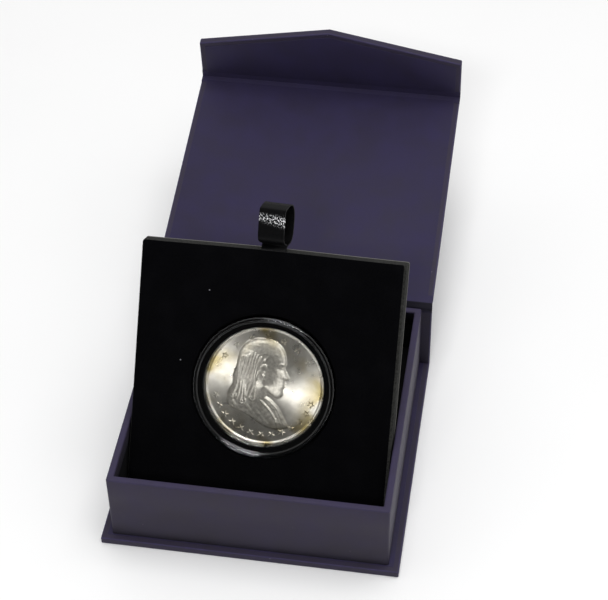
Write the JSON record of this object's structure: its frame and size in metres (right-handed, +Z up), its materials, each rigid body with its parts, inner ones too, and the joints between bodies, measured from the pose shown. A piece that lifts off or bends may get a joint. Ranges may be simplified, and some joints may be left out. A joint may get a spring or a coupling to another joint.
{
  "type": "coin display case",
  "caption": "Book-style rigid paper-covered case with a pointed magnetic flap lid and a tilting velvet insert that holds a coin in a clear capsule.",
  "frame": {"origin": "centre of the base board's underside", "axes": "+Z up, -Y towards the front wall that the flap closes on, +X to the right seen from the front"},
  "size_m": [0.077, 0.1488, 0.073],
  "materials": {
    "greyboard": "matte",
    "cover_paper": "matte",
    "black_paper": "matte",
    "stay_tape": "matte",
    "steel": "satin",
    "magnet": "satin",
    "foam": "matte",
    "velvet": "matte",
    "backing_card": "matte",
    "ribbon": "satin",
    "clear_acrylic": "gloss",
    "coin_silver": "satin"
  },
  "bodies": {
    "case": {"base_board": "greyboard", "base_wrap": "cover_paper", "base_liner": "cover_paper", "base_hinge_strip": "cover_paper", "spine_board": "greyboard", "spine_wrap": "cover_paper", "spine_liner": "cover_paper", "tray_floor": "greyboard", "tray_front_wall": "greyboard", "tray_back_wall": "greyboard", "tray_left_wall": "greyboard", "tray_right_wall": "greyboard", "corner_stays": "stay_tape", "tray_wrap": "cover_paper", "tray_lining": "black_paper", "tray_discs": "steel", "riser_left": "foam", "riser_right": "foam"},
    "hinge_strip": {"lid_hinge_strip": "cover_paper"},
    "lid": {"lid_board": "greyboard", "lid_wrap": "cover_paper", "lid_liner": "cover_paper"},
    "flap": {"flap_board": "greyboard", "flap_wrap": "cover_paper", "flap_liner": "cover_paper", "flap_magnets": "magnet"},
    "insert": {"insert_foam": "foam", "insert_velvet": "velvet", "insert_card": "backing_card", "ribbon_tail": "ribbon"},
    "ribbon": {"ribbon_loop": "ribbon"},
    "capsule": {"capsule_base": "clear_acrylic"},
    "cover": {"capsule_cover": "clear_acrylic"},
    "coin": {"coin": "coin_silver"}
  },
  "joints": [
    {"name": "spine_crease", "type": "hinge", "parent": "case", "child": "hinge_strip", "pos_m": [0, 0.0367, 0.0238], "axis": [1, 0, 0], "range_deg": [0, 90]},
    {"name": "lid_crease", "type": "hinge", "parent": "hinge_strip", "child": "lid", "pos_m": [0, 0.03769, 0.02479], "axis": [1, 0, 0], "range_deg": [0, 80.1]},
    {"name": "flap_crease", "type": "hinge", "parent": "lid", "child": "flap", "pos_m": [0, 0.11025, 0.03824], "axis": [1, 0, 0], "range_deg": [-86.5, 8]},
    {"name": "insert_tilt", "type": "hinge", "parent": "case", "child": "insert", "pos_m": [0, -0.0212, 0.0187], "axis": [-1, 0, 0], "range_deg": [0, 54.4]},
    {"name": "ribbon_fold", "type": "hinge", "parent": "insert", "child": "ribbon", "pos_m": [0, 0.01217, 0.06239], "axis": [1, 0, 0], "range_deg": [0, 165], "deforming": ["ribbon_loop"]},
    {"name": "capsule_lift", "type": "slide", "parent": "insert", "child": "capsule", "axis": [0, 0.8131, -0.5821], "range_m": [-0.014, 0]},
    {"name": "cover_lift", "type": "slide", "parent": "capsule", "child": "cover", "axis": [0, 0.8131, -0.5821], "range_m": [-0.01, 0]},
    {"name": "coin_lift", "type": "slide", "parent": "capsule", "child": "coin", "axis": [0, 0.8131, -0.5821], "range_m": [-0.005, 0]}
  ],
  "couplings": [
    {"joint": "coin_lift", "follows": "cover_lift", "ratio": 0.5},
    {"joint": "ribbon_fold", "follows": "insert_tilt", "ratio": 3.0331}
  ]
}
